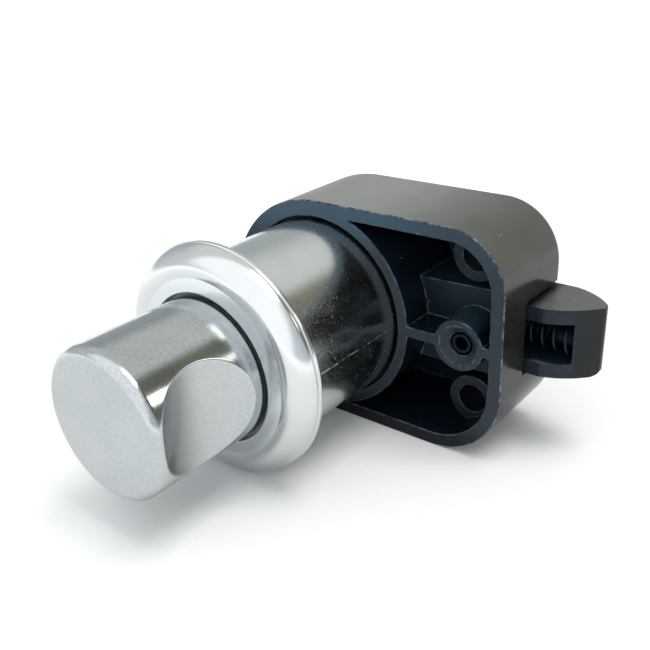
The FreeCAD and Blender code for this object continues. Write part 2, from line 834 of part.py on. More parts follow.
MAKERS = {
    "housing": make_housing,
    "rear_cover": make_rear_cover,
    "post_pin": make_post_pin,
    "tongue": make_tongue,
    "tongue_spring": make_tongue_spring,
    "rosette": make_rosette,
    "sleeve": make_sleeve,
    "snap_ring": make_snap_ring,
    "knob": make_knob,
    "plunger": make_plunger,
    "knob_screw": make_knob_screw,
    "knob_spring": make_knob_spring,
    "guide_bush": make_guide_bush,
    "retaining_ring": make_retaining_ring,
    "cam_follower": make_cam_follower,
}


def build():
    doc = FreeCAD.newDocument("pushbutton_latch")
    sheet = fill_sheet(doc)
    pieces = []
    for name, maker in MAKERS.items():
        piece = Piece(doc, sheet, name)
        maker(piece)
        pieces.append(piece)
    doc.recompute()
    for part in doc.Objects:
        if "Invalid" in part.State or "Error" in part.State:
            raise ValueError("%s is not valid" % part.Name)
    os.makedirs("parts", exist_ok=True)
    for piece in pieces:
        shape = piece.body.Shape
        if shape.isNull() or not shape.isValid() or len(shape.Solids) != 1:
            raise ValueError("%s is not one valid solid" % piece.body.Label)
        shape.exportStep("parts/%s.step" % piece.body.Label)


build()
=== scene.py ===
import bmesh
import bpy
import math
from mathutils import Matrix, Vector


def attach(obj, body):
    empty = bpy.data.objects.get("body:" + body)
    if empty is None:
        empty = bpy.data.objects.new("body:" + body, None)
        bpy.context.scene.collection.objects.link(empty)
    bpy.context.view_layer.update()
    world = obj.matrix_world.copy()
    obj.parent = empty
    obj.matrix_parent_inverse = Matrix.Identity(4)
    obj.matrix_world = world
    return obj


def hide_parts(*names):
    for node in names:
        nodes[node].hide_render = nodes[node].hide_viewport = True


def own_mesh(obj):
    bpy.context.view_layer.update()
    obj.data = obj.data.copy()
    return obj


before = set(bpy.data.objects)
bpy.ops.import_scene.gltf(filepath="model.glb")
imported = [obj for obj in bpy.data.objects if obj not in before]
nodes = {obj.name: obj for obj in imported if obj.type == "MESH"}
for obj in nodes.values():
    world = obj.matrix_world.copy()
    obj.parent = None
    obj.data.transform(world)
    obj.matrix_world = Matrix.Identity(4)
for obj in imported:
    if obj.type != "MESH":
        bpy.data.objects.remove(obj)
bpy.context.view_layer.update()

# The scene is in metres, in the part's own frame: the knob's axis is Y, and the door's inner face is
# at Y = 0. Sizes and places below are in millimetres, and MM turns them into metres.
MM = 0.001

# The camera of the photograph: its place in metres, the way it looks and its lens
CAMERA_PLACE = (0.067330, -0.080355, 0.046998)
CAMERA_TURN = math.radians(39.60)
CAMERA_RISE = math.radians(25.41)
CAMERA_ROLL = math.radians(2.83)
CAMERA_NEAR = 1.0
CAMERA_FAR = 20000.0
SENSOR = 36.0
PHOTO_SIDE = 650
FOCAL_PIXELS = 838.0

# Rosette, turned: radii, places along the knob's axis, and the rounding of its corners. A pair is a
# radius and a place.
DOOR_FRONT = -18.0
ROSETTE_RADIUS = 14.95
ROSETTE_HOLE = 9.62
ROSETTE_FRONT = -21.4
LIP_END = -18.5
LIP_FOOT = (14.78, -18.56)
BULGE_START = (14.9, -18.85)
BULGE_END = (11.35, -21.05)
BULGE_RADIUS = 3.0
FLANGE_ROOM = (13.45, -19.62)
BORE_ROOM = (11.02, -20.42)
BACK_ROUNDING = 0.08
LIP_ROUNDING = 0.06
FOOT_ROUNDING = 0.04
CREASE_ROUNDING = 0.05
HOLE_ROUNDING = 0.12

# Sleeve, turned. The pair of a groove is the two places between which it lies.
SLEEVE_RADIUS = 12.5
SLEEVE_BORE = 11.0
SLEEVE_END = 4.0
FLANGE_RADIUS = 13.4
FLANGE_FRONT = -19.6
SNAP_GROOVE_RADIUS = 12.2
SNAP_GROOVE = (1.0, 1.8)
INNER_GROOVE_RADIUS = 11.55
INNER_GROOVE = (2.4, 3.2)
GROOVE_ROUNDING = 0.03
END_ROUNDING = 0.2
BORE_ROUNDING = 0.1

# Knob, turned, with a finger scoop on each flank
KNOB_RADIUS = 9.2
KNOB_FRONT = -37.4
KNOB_BACK = -20.4
KNOB_DOME = 0.2
KNOB_EDGE = 1.2
KNOB_BACK_EDGE = 0.15
KNOB_BACK_CORNER = 0.05
SPIGOT_HOLE = 4.13
SPIGOT_END = -26.0
SCREW_HOLE = 1.43
SCREW_END = -30.6
SCOOP_RADIUS = 10.5
SCOOP_ACROSS = 17.3
SCOOP_PLACE = -29.6
SCOOP_EDGE = 0.14

# How finely the turned parts are divided. FACE_RINGS are shares of the radius of the knob's face.
# SCOOP_BAND is half the angle, in radians, that is divided most finely at the edge of a scoop, and
# QUARTER_STEPS are the steps before it, in it and after it. LEAST_COSINE keeps a scoop's reach finite.
TURN_STEPS = 256
CORNER_STEPS = 4
BULGE_STEPS = 22
FACE_RINGS = (0.12, 0.3, 0.5, 0.7, 0.85, 0.93)
EDGE_STEPS = 12
SIDE_STEP = 0.16
SCOOP_BAND = 0.03
QUARTER_STEPS = (16, 8, 28)
LEAST_COSINE = 0.01

# Rounding of the moulded and sheet edges
CASE_EDGE = 0.14
TONGUE_EDGE = 0.07
SHEET_EDGE = 0.06

# Points this near become one. Below the flat angle faces are joined, and above the edge angle an edge
# is rounded. The weight favours large faces where directions are averaged.
JOIN_DISTANCE = 0.001
FLAT_ANGLE = math.radians(1.0)
EDGE_ANGLE = math.radians(30.0)
NORMAL_WEIGHT = 80

# The latch lies on the lowest points of its case and its rosette, just above the floor
CASE_BOTTOM = -15.45
FLOOR_GAP = 0.02
FLOOR_SIDE = 3000.0


def add_piece(name, mesh, body, replaced):
    """A piece that moves with the body and stands in the place of a node."""
    piece = bpy.data.objects.new(name, mesh)
    bpy.context.scene.collection.objects.link(piece)
    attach(piece, body)
    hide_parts(replaced)
    return piece


def apply_modifiers(piece):
    """Keeps the shape that the modifiers give and drops them."""
    graph = bpy.context.evaluated_depsgraph_get()
    made = bpy.data.meshes.new_from_object(piece.evaluated_get(graph))
    old = piece.data
    piece.modifiers.clear()
    piece.data = made
    bpy.data.meshes.remove(old)
    made.name = piece.name


def weigh_normals(piece):
    """Flat faces keep their own direction beside narrow rounded edges."""
    weighted = piece.modifiers.new("weighted", "WEIGHTED_NORMAL")
    weighted.weight = NORMAL_WEIGHT
    weighted.keep_sharp = False
    apply_modifiers(piece)


def soften(piece, width, clamped):
    """Rounds the sharp edges, whose faces take the second material, and smooths the rest."""
    bevel = piece.modifiers.new("bevel", "BEVEL")
    bevel.limit_method = "ANGLE"
    bevel.angle_limit = EDGE_ANGLE
    bevel.width = width * MM
    bevel.segments = 2
    bevel.miter_outer = "MITER_ARC"
    bevel.use_clamp_overlap = clamped
    bevel.material = 1
    for face in piece.data.polygons:
        face.use_smooth = True
    weigh_normals(piece)


def soft_copy(node, name, body, width, finish, edge_finish, clamped=False):
    """A copy of a solid's mesh with joined flats and rounded edges."""
    work = bmesh.new()
    work.from_mesh(nodes[node].data)
    bmesh.ops.remove_doubles(work, verts=work.verts, dist=JOIN_DISTANCE * MM)
    bmesh.ops.dissolve_limit(work, angle_limit=FLAT_ANGLE, verts=work.verts, edges=work.edges)
    mesh = bpy.data.meshes.new(name)
    work.to_mesh(mesh)
    work.free()
    for material in (finish(), edge_finish()):
        mesh.materials.append(material)
    piece = add_piece(name, mesh, body, node)
    for face in mesh.polygons:
        face.material_index = 0
    soften(piece, width, clamped)


def arc(middle, first, last, steps):
    """Points on an arc about the middle, from first to last, which are both measured from it."""
    turn = first.angle_signed(last)
    return [middle + Matrix.Rotation(-turn * step / steps, 2) @ first for step in range(steps + 1)]


def rounded(corners):
    """The outline through the corners (radius, place, rounding), each corner rounded by an arc."""
    points = []
    for index, (radius, place, rounding) in enumerate(corners):
        here = Vector((radius, place))
        if rounding == 0:
            points.append(here)
            continue
        follower = corners[(index + 1) % len(corners)]
        before = (Vector(corners[index - 1][:2]) - here).normalized()
        after = (Vector(follower[:2]) - here).normalized()
        half = before.angle(after) / 2
        reach = rounding / math.tan(half)
        middle = here + (before + after).normalized() * rounding / math.sin(half)
        first = here + before * reach - middle
        last = here + after * reach - middle
        points += arc(middle, first, last, CORNER_STEPS)
    return points


def ring_mesh(name, rows, closed):
    """Joins rows of points round the knob's axis. A row of one point closes an end."""
    work = bmesh.new()
    rings = [[work.verts.new(Vector(point) * MM) for point in row] for row in rows]
    count = max(len(ring) for ring in rings)
    pairs = list(zip(rings, rings[1:]))
    if closed:
        pairs.append((rings[-1], rings[0]))
    for one, two in pairs:
        for step in range(count):
            follow = (step + 1) % count
            around = ((one, step), (one, follow), (two, follow), (two, step))
            corners = [ring[place % len(ring)] for ring, place in around]
            work.faces.new(list(dict.fromkeys(corners)))
    bmesh.ops.recalc_face_normals(work, faces=work.faces)
    mesh = bpy.data.meshes.new(name)
    work.to_mesh(mesh)
    work.free()
    for face in mesh.polygons:
        face.use_smooth = True
    return mesh


def make_turned(name, corners, node):
    """Turns a closed outline about the knob's axis. The piece belongs to the case."""
    angles = [2 * math.pi * step / TURN_STEPS for step in range(TURN_STEPS)]
    rows = []
    for radius, place in rounded(corners):
        rows.append([(radius * math.cos(angle), place, radius * math.sin(angle)) for angle in angles])
    piece = add_piece(name, ring_mesh(name, rows, True), "case", node)
    weigh_normals(piece)
    return piece


def bulge_points():
    """The arc of the rosette's bulge without its ends. Its middle is on the side of the axis."""
    start, stop = Vector(BULGE_START), Vector(BULGE_END)
    chord = stop - start
    side = Vector((-chord.y, chord.x)).normalized()
    lift = side * math.sqrt(BULGE_RADIUS ** 2 - (chord.length / 2) ** 2)
    halfway = (start + stop) / 2
    middle = min(halfway - lift, halfway + lift, key=lambda point: point.length)
    return arc(middle, start - middle, stop - middle, BULGE_STEPS)[1:-1]


def make_rosette():
    """Bulging ring with a crisp crease, an inner band and a fine lip at its back edge."""
    room_radius, room_end = FLANGE_ROOM
    bore_radius, bore_end = BORE_ROOM
    corners = [
        (room_radius, DOOR_FRONT, 0),
        (ROSETTE_RADIUS, DOOR_FRONT, BACK_ROUNDING),
        (ROSETTE_RADIUS, LIP_END, LIP_ROUNDING),
        (*LIP_FOOT, FOOT_ROUNDING),
        (*BULGE_START, 0),
    ]
    corners += [(*point, 0) for point in bulge_points()]
    corners += [
        (*BULGE_END, CREASE_ROUNDING),
        (ROSETTE_HOLE, ROSETTE_FRONT, HOLE_ROUNDING),
        (ROSETTE_HOLE, bore_end, 0),
        (bore_radius, bore_end, 0),
        (bore_radius, room_end, 0),
        (room_radius, room_end, 0),
    ]
    return make_turned("rosette_ring", corners, "rosette")


def make_sleeve():
    """Tube with a flange, a rounded end in the case, and a groove outside and one inside."""
    snap_start, snap_end = SNAP_GROOVE
    inner_start, inner_end = INNER_GROOVE
    corners = [
        (SLEEVE_BORE, FLANGE_FRONT, 0),
        (FLANGE_RADIUS, FLANGE_FRONT, 0),
        (FLANGE_RADIUS, DOOR_FRONT, 0),
        (SLEEVE_RADIUS, DOOR_FRONT, 0),
        (SLEEVE_RADIUS, snap_start, GROOVE_ROUNDING),
        (SNAP_GROOVE_RADIUS, snap_start, 0),
        (SNAP_GROOVE_RADIUS, snap_end, 0),
        (SLEEVE_RADIUS, snap_end, GROOVE_ROUNDING),
        (SLEEVE_RADIUS, SLEEVE_END, END_ROUNDING),
        (SLEEVE_BORE, SLEEVE_END, BORE_ROUNDING),
        (SLEEVE_BORE, inner_end, 0),
        (INNER_GROOVE_RADIUS, inner_end, 0),
        (INNER_GROOVE_RADIUS, inner_start, 0),
        (SLEEVE_BORE, inner_start, 0),
    ]
    return make_turned("sleeve_tube", corners, "sleeve")


def soft_least(first, second, reach):
    """The smaller of two lengths, with a smooth change from one to the other."""
    share = min(1.0, max(0.0, 0.5 + 0.5 * (second - first) / reach))
    return second + (first - second) * share - reach * share * (1 - share)


def knob_angles(edge_angle):
    """Angles round the knob, closest together where the edge of a scoop crosses the ring."""
    low = max(edge_angle - SCOOP_BAND, SCOOP_BAND)
    high = low + 2 * SCOOP_BAND
    right = math.pi / 2
    quarter = []
    for start, stop, steps in zip((0.0, low, high), (low, high, right), QUARTER_STEPS):
        quarter += [start + (stop - start) * step / steps for step in range(steps)]
    half = quarter + [right] + [math.pi - angle for angle in reversed(quarter[1:])]
    return half + [angle + math.pi for angle in half]


def knob_row(radius, place):
    """One ring of the knob: a circle, or a circle with the two finger scoops cut in."""
    along = place - SCOOP_PLACE
    flank = SCOOP_ACROSS - math.sqrt(max(0.0, SCOOP_RADIUS ** 2 - along ** 2))
    row = []
    for angle in knob_angles(math.acos(min(1.0, flank / KNOB_RADIUS))):
        reach = flank / max(abs(math.cos(angle)), LEAST_COSINE)
        cut_radius = soft_least(radius, reach, SCOOP_EDGE)
        row.append((cut_radius * math.cos(angle), place, cut_radius * math.sin(angle)))
    return row


def knob_outline():
    """Radii and places of the knob: domed front, rounded edge, side, back edge and stepped hole."""
    rim = KNOB_RADIUS - KNOB_EDGE
    face = KNOB_FRONT + KNOB_DOME
    outline = [(rim * part, KNOB_FRONT + KNOB_DOME * part ** 2) for part in FACE_RINGS]
    for step in range(EDGE_STEPS + 1):
        angle = math.pi / 2 * step / EDGE_STEPS
        outline.append((rim + KNOB_EDGE * math.sin(angle), face + KNOB_EDGE * (1 - math.cos(angle))))
    side_start = face + KNOB_EDGE
    side_end = KNOB_BACK - KNOB_BACK_EDGE
    count = int((side_end - side_start) / SIDE_STEP)
    outline += [(KNOB_RADIUS, side_start + SIDE_STEP * step) for step in range(1, count)]
    return outline + [
        (KNOB_RADIUS, side_end),
        (KNOB_RADIUS - KNOB_BACK_CORNER, KNOB_BACK - KNOB_BACK_CORNER),
        (KNOB_RADIUS - KNOB_BACK_EDGE, KNOB_BACK),
        (SPIGOT_HOLE, KNOB_BACK),
        (SPIGOT_HOLE, SPIGOT_END),
        (SCREW_HOLE, SPIGOT_END),
        (SCREW_HOLE, SCREW_END),
    ]


def make_knob():
    """Turned button with a finger scoop on each flank."""
    rows = [[(0, KNOB_FRONT, 0)]]
    rows += [knob_row(radius, place) for radius, place in knob_outline()]
    rows.append([(0, SCREW_END, 0)])
    mesh = ring_mesh("knob_button", rows, False)
    piece = add_piece("knob_button", mesh, "knob_unit", "knob")
    weigh_normals(piece)
    return piece


# Limits in the case's walls between its inside and its outer skin, and half the width of the change.
# SKIN_CORNER is for the right-hand corners: the place across and the height added up.
SKIN_RIGHT = 26.4
SKIN_HEIGHT = 13.9
SKIN_BACK = 14.8
SKIN_CORNER = 36.3
SKIN_ROUND_END = 14.4
SKIN_BLUR = 0.2

# Most of a noise's values lie in this span
NOISE_SPAN = (0.3, 0.7)

# The share of the radius of a speck of dust that is fully pale
SPECK_CORE = 0.6

# The Y of a face's direction: below the first value it looks towards the door, above the second it
# looks elsewhere
DOOR_FACING = (-0.95, -0.6)


class Nodes:
    """Short calls for the nodes used most, in the tree of a material or of the world."""

    def __init__(self, tree):
        self.tree = tree

    def add(self, kind, **settings):
        """A new node with its settings."""
        node = self.tree.nodes.new(kind)
        for name, value in settings.items():
            setattr(node, name, value)
        return node

    def feed(self, socket, value):
        """Links a socket or sets a plain value."""
        if isinstance(value, bpy.types.NodeSocket):
            self.tree.links.new(value, socket)
        elif hasattr(value, "__len__") and len(value) == 3 and socket.type == "RGBA":
            socket.default_value = (*value, 1.0)
        else:
            socket.default_value = value

    def math(self, operation, first, second=0.0, clamp=False):
        """One operation on two numbers."""
        node = self.add("ShaderNodeMath", operation=operation, use_clamp=clamp)
        self.feed(node.inputs[0], first)
        self.feed(node.inputs[1], second)
        return node.outputs[0]

    def product(self, first, *others):
        """All values multiplied with each other."""
        for other in others:
            first = self.math("MULTIPLY", first, other)
        return first

    def length(self, first, second):
        """Length of the slope over two sides at right angles."""
        squares = [self.product(side, side) for side in (first, second)]
        return self.math("SQRT", self.math("ADD", *squares))

    def axes(self, vector):
        """The X, Y and Z of a vector."""
        node = self.add("ShaderNodeSeparateXYZ")
        self.feed(node.inputs[0], vector)
        return node.outputs

    def vector(self, x, y, z):
        """A vector of three numbers."""
        node = self.add("ShaderNodeCombineXYZ")
        for socket, value in zip(node.inputs, (x, y, z)):
            self.feed(socket, value)
        return node.outputs[0]

    def stretch(self, vector, scale):
        """The vector times the three scales."""
        node = self.add("ShaderNodeVectorMath", operation="MULTIPLY")
        self.feed(node.inputs[0], vector)
        self.feed(node.inputs[1], scale)
        return node.outputs[0]

    def noise(self, vector, scale, detail=3.0, roughness=0.5):
        """Cloudy noise from 0 to 1, with scale clouds to the metre."""
        node = self.add("ShaderNodeTexNoise")
        self.feed(node.inputs["Vector"], vector)
        self.feed(node.inputs["Scale"], scale)
        self.feed(node.inputs["Detail"], detail)
        self.feed(node.inputs["Roughness"], roughness)
        return node.outputs["Fac"]

    def spread(self, value, low, high, to_low=0.0, to_high=1.0):
        """Turns low..high into to_low..to_high, smoothly, and stays level outside."""
        node = self.add("ShaderNodeMapRange", interpolation_type="SMOOTHSTEP")
        self.feed(node.inputs["Value"], value)
        self.feed(node.inputs["From Min"], low)
        self.feed(node.inputs["From Max"], high)
        self.feed(node.inputs["To Min"], to_low)
        self.feed(node.inputs["To Max"], to_high)
        return node.outputs["Result"]

    def cloudy(self, noise, first, second):
        """Turns noise into a number from first, where it is low, to second, where it is high."""
        return self.spread(noise, *NOISE_SPAN, first, second)

    def fall(self, value, low, high):
        """1 up to low and 0 from high on."""
        return self.spread(value, low, high, 1.0, 0.0)

    def along(self, place, span, to_low=0.0, to_high=1.0):
        """As spread, over a span in millimetres."""
        low, high = span
        return self.spread(place, low * MM, high * MM, to_low, to_high)

    def mix(self, factor, first, second):
        """A colour between two."""
        node = self.add("ShaderNodeMix", data_type="RGBA")
        self.feed(node.inputs[0], factor)
        self.feed(node.inputs[6], first)
        self.feed(node.inputs[7], second)
        return node.outputs[2]

    def blend(self, factor, first, second):
        """A number between two."""
        node = self.add("ShaderNodeMix", data_type="FLOAT")
        self.feed(node.inputs[0], factor)
        self.feed(node.inputs[2], first)
        self.feed(node.inputs[3], second)
        return node.outputs[0]


class Shade(Nodes):
    """A material made of nodes. The colour and roughness it starts with are its plain ones."""

    def __init__(self, name, color, roughness, metallic=0.0):
        self.material = bpy.data.materials.new(name)
        self.material.use_nodes = True
        super().__init__(self.material.node_tree)
        self.tree.nodes.clear()
        self.shader = self.add("ShaderNodeBsdfPrincipled")
        self.surface = self.add("ShaderNodeOutputMaterial").inputs["Surface"]
        self.feed(self.surface, self.shader.outputs[0])
        self.set("Base Color", color)
        self.set("Roughness", roughness)
        self.set("Metallic", metallic)
        self.place = self.add("ShaderNodeTexCoord").outputs["Object"]

    def set(self, name, value):
        """Gives a value to one of the shader's own sockets."""
        self.feed(self.shader.inputs[name], value)

    def bump(self, height, distance, strength):
        """Fine relief: the height from 0 to 1 stands for a distance in millimetres."""
        node = self.add("ShaderNodeBump")
        self.feed(node.inputs["Distance"], distance * MM)
        self.feed(node.inputs["Strength"], strength)
        self.feed(node.inputs["Height"], height)
        self.set("Normal", node.outputs[0])

    def specks(self, scale, size, share):
        """1 where a speck of dust lies: small dots in a share of the cells."""
        cells = self.add("ShaderNodeTexVoronoi", feature="F1")
        self.feed(cells.inputs["Vector"], self.place)
        self.feed(cells.inputs["Scale"], scale)
        dot = self.fall(cells.outputs["Distance"], size * SPECK_CORE, size)
        chance = self.axes(cells.outputs["Color"])["X"]
        return self.product(dot, self.math("LESS_THAN", chance, share))

    def facing(self):
        """The X, Y and Z of the surface's own direction, without bump."""
        return self.axes(self.add("ShaderNodeNewGeometry").outputs["True Normal"])

    def toward_door(self):
        """1 on faces that look towards the door."""
        return self.fall(self.facing()["Y"], *DOOR_FACING)

    def around(self):
        """Angle about the knob's axis, and distance from it."""
        x, _, z = self.axes(self.place)
        return self.math("ARCTAN2", z, x), self.length(x, z)

    def within(self, value, limit):
        """1 below a limit in the case's walls and 0 above it."""
        return self.along(value, (limit - SKIN_BLUR, limit + SKIN_BLUR), 1.0, 0.0)

    def inside_case(self):
        """1 within the case's walls, 0 on its outer skin."""
        x, y, z = self.axes(self.place)
        height = self.math("ABSOLUTE", z)
        right_half = self.along(x, (-SKIN_BLUR / 2, SKIN_BLUR / 2))
        round_end = self.within(self.length(x, z), SKIN_ROUND_END)
        return self.product(
            self.math("MAXIMUM", round_end, right_half),
            self.within(x, SKIN_RIGHT),
            self.within(height, SKIN_HEIGHT),
            self.within(y, SKIN_BACK),
            self.within(self.math("ADD", x, height), SKIN_CORNER),
        )


# Where the case's colours change, much of it painted light and shade. Along X lie the thinning of the
# painted sheen on top, the ledges with painted light and the fading of the painted light on the rim's
# top;
# along Y the start of the painted shade deep in the case. The others are heights.
PAINTED_SHEEN_THINS = (4.0, 24.0)
LEDGE_ACROSS = (8.0, 15.0)
LEDGE_ABOVE = (1.0, 3.0)
PAINTED_LIGHT_ABOVE = (8.0, 13.5)
PAINTED_LIGHT_FADES = (8.0, 22.0)
PAINTED_SHADE_BELOW = (-14.0, -9.0)
PAINTED_SHADE_DEEP_FROM = (3.5, 4.5)

# How steeply a face may stand and still hold the painted sheen, and how level a ledge is
CASE_PAINTED_SHEEN_LEVEL = (-0.1, 0.5)
TONGUE_PAINTED_SHEEN_LEVEL = (0.3, 0.9)
LEDGE_LEVEL = (0.5, 0.9)

# Where the tongue's painted sheen starts, and the end, height and depth of its hollow
# Nearer the case the tongue's top keeps a painted shade; the hollow gets a painted shade of its own
TONGUE_PAINTED_SHEEN_FROM = (27.8, 29.4)
HOLLOW_END = (33.0, 33.3)
HOLLOW_HEIGHT = (3.9, 4.2)
HOLLOW_DEPTH = (6.5, 7.0)

# How much light the black plastics throw back
CASE_SPECULAR = 0.22
TONGUE_SPECULAR = 0.28
EDGE_SPECULAR = 0.25


def case_faces(shade, cloud):
    """Door-facing faces: bluish painted light on the rim's top, painted shade at its foot and deep
    inside.
    """
    x, y, z = shade.axes(shade.place)
    # Painted shade at the foot, the rim's own tone, painted light on the top, painted shade deep inside
    painted_shade_foot = shade.mix(cloud, (0.0005, 0.001, 0.002), (0.001, 0.003, 0.005))
    middle = shade.mix(cloud, (0.014, 0.022, 0.034), (0.024, 0.034, 0.046))
    painted_light_top = shade.mix(cloud, (0.03, 0.065, 0.1), (0.045, 0.085, 0.12))
    painted_shade_deep = shade.mix(cloud, (0.003, 0.009, 0.016), (0.009, 0.02, 0.03))
    # Painted light on the rim's top, fading to the right; painted shade at its foot and deep in the
    # case
    high = shade.product(shade.along(z, PAINTED_LIGHT_ABOVE), shade.along(x, PAINTED_LIGHT_FADES, 1.0, 0.3))
    rim = shade.mix(high, shade.mix(shade.along(z, PAINTED_SHADE_BELOW), painted_shade_foot, middle), painted_light_top)
    return shade.mix(shade.along(y, PAINTED_SHADE_DEEP_FROM), rim, painted_shade_deep)


def case_inside(shade, cloud):
    """The inner walls: nearly black, with painted light, a little bluer, on the ledges that look up."""
    x, _, z = shade.axes(shade.place)
    # Painted light on the ledges that look up
    level = shade.spread(shade.facing()["Z"], *LEDGE_LEVEL)
    painted_light_ledge = shade.product(level, shade.along(z, LEDGE_ABOVE), shade.along(x, LEDGE_ACROSS))
    wall = shade.mix(cloud, (0.002, 0.005, 0.009), (0.005, 0.01, 0.016))
    return shade.mix(painted_light_ledge, wall, (0.012, 0.026, 0.04))


def case_outside(shade, cloud, painted_sheen):
    """The outer walls: black, with a painted sheen on the faces that look up, thinning towards the
    tongue.
    """
    clean = shade.mix(cloud, (0.008, 0.0085, 0.0085), (0.013, 0.0135, 0.013))
    # Colours of the painted sheen on top: thin near the tongue, thick further left
    thin_painted_sheen = shade.mix(cloud, (0.06, 0.061, 0.054), (0.09, 0.09, 0.08))
    thick_painted_sheen = shade.mix(cloud, (0.17, 0.171, 0.165), (0.22, 0.22, 0.213))
    thinning = shade.along(shade.axes(shade.place)["X"], PAINTED_SHEEN_THINS)
    return shade.mix(painted_sheen, clean, shade.mix(thinning, thick_painted_sheen, thin_painted_sheen))


def black_case():
    """Moulded case: glossy walls, bluish satin door faces with painted light and shade, painted sheen
    on top, dust.
    """
    shade = Shade("black_case", (0.01, 0.011, 0.013), 0.2)
    cloud = shade.noise(shade.place, scale=260.0, detail=4.0)
    grain = shade.noise(shade.place, scale=9000.0)
    dust = shade.specks(scale=700.0, size=0.07, share=0.16)
    front = shade.toward_door()
    inside = shade.inside_case()
    outside = shade.math("SUBTRACT", 1.0, inside)
    # Painted sheen: the outer faces that look up are made paler
    painted_sheen = shade.product(shade.spread(shade.facing()["Z"], *CASE_PAINTED_SHEEN_LEVEL), outside)
    walls = shade.mix(inside, case_outside(shade, cloud, painted_sheen), case_inside(shade, cloud))
    base = shade.mix(front, walls, case_faces(shade, cloud))
    shade.set("Base Color", shade.mix(dust, base, (0.32, 0.35, 0.38)))
    gloss = shade.cloudy(cloud, 0.13, 0.2)
    satin = shade.cloudy(grain, 0.34, 0.46)
    shade.set("Roughness", shade.blend(shade.math("MAXIMUM", front, painted_sheen), gloss, satin))
    shade.set("Specular IOR Level", CASE_SPECULAR)
    shade.bump(grain, distance=0.01, strength=0.25)
    return shade.material


def tongue_hollow(shade):
    """1 in the deep part of the tongue's window, which gets a painted shade."""
    x, y, z = shade.axes(shade.place)
    height = shade.along(shade.math("ABSOLUTE", z), HOLLOW_HEIGHT, 1.0, 0.0)
    return shade.product(height, shade.along(y, HOLLOW_DEPTH), shade.along(x, HOLLOW_END, 1.0, 0.0))


def black_tongue():
    """Satin moulded plastic with a painted sheen on top, painted shade near the case and in its hollow.
    """
    shade = Shade("black_tongue", (0.014, 0.015, 0.017), 0.38)
    cloud = shade.noise(shade.place, scale=420.0, detail=5.0)
    grain = shade.noise(shade.place, scale=3200.0)
    dust = shade.specks(scale=600.0, size=0.06, share=0.1)
    # Painted sheen on the top, which starts away from the case and leaves painted shade near it
    painted_sheen_start = shade.along(shade.axes(shade.place)["X"], TONGUE_PAINTED_SHEEN_FROM)
    painted_sheen = shade.product(shade.spread(shade.facing()["Z"], *TONGUE_PAINTED_SHEEN_LEVEL), painted_sheen_start)
    sides = shade.mix(cloud, (0.004, 0.0045, 0.005), (0.008, 0.0085, 0.009))
    painted_sheen_top = shade.mix(cloud, (0.075, 0.077, 0.077), (0.1, 0.1, 0.098))
    faces = shade.mix(cloud, (0.004, 0.01, 0.016), (0.008, 0.015, 0.023))
    base = shade.mix(shade.toward_door(), shade.mix(painted_sheen, sides, painted_sheen_top), faces)
    # Painted shade in the deep part of the window
    base = shade.mix(tongue_hollow(shade), base, (0.008, 0.016, 0.026))
    shade.set("Base Color", shade.mix(dust, base, (0.3, 0.31, 0.32)))
    shade.set("Roughness", shade.cloudy(cloud, 0.24, 0.34))
    shade.set("Specular IOR Level", TONGUE_SPECULAR)
    shade.bump(grain, distance=0.008, strength=0.12)
    return shade.material


def painted_edge_highlight():
    """Edges of the black mouldings: patches of painted highlight, smoother there, dimmed inside the
    case as painted shade.
    """
    shade = Shade("painted_edge_highlight", (0.03, 0.034, 0.038), 0.3)
    patches = shade.noise(shade.place, scale=900.0, detail=4.0, roughness=0.6)
    # Painted highlight on the edges, broken into patches, and dimmer inside the case as painted shade
    painted_highlight = shade.spread(patches, 0.42, 0.62)
    painted_highlight_tone = shade.mix(shade.inside_case(), (0.15, 0.17, 0.19), (0.07, 0.085, 0.1))
    shade.set("Base Color", shade.mix(painted_highlight, (0.012, 0.018, 0.024), painted_highlight_tone))
    shade.set("Specular IOR Level", EDGE_SPECULAR)
    shade.set("Roughness", shade.cloudy(patches, 0.36, 0.24))
    shade.bump(patches, distance=0.01, strength=0.2)
    return shade.material


# The brushed inner band of the rosette ends at this distance from the axis
BAND_END = (11.3, 11.36)

# How fine the brushed rings and the hair scratches are: round the axis, and outwards or along it
RINGS_ROUND = 1.2
RINGS_OUTWARD = 9000.0
SCRATCHES_ROUND = 9.0
SCRATCHES_ALONG = 5200.0

# The parting line on the sleeve: its height, how far it wanders and where its width fades
SEAM_HEIGHT = 0.3
SEAM_WANDER = 0.3
SEAM_WIDTH = (0.02, 0.07)


def satin_chrome():
    """Bright plating, brushed round the inner band, with a painted shade on the faces that look down.
    """
    shade = Shade("satin_chrome", (0.6, 0.62, 0.63), 0.16, 1.0)
    angle, distance = shade.around()
    outward = shade.product(distance, RINGS_OUTWARD)
    rings = shade.noise(shade.vector(shade.product(angle, RINGS_ROUND), outward, 0.0), scale=1.0)
    cloud = shade.noise(shade.place, scale=180.0, detail=4.0)
    grain = shade.noise(shade.place, scale=7000.0)
    band = shade.along(distance, BAND_END, 1.0, 0.0)
    bright = shade.mix(cloud, (0.62, 0.635, 0.645), (0.7, 0.71, 0.715))
    # Painted shade on the faces that look down
    painted_shade_below = shade.fall(shade.facing()["Z"], -0.5, 0.0)
    base = shade.mix(painted_shade_below, bright, (0.53, 0.545, 0.555))
    brushed = shade.mix(rings, (0.56, 0.6, 0.62), (0.72, 0.76, 0.775))
    shade.set("Base Color", shade.mix(band, base, brushed))
    plain = shade.cloudy(cloud, 0.13, 0.2)
    shade.set("Roughness", shade.blend(band, plain, 0.22))
    shade.bump(shade.blend(band, grain, rings), distance=0.01, strength=0.28)
    return shade.material


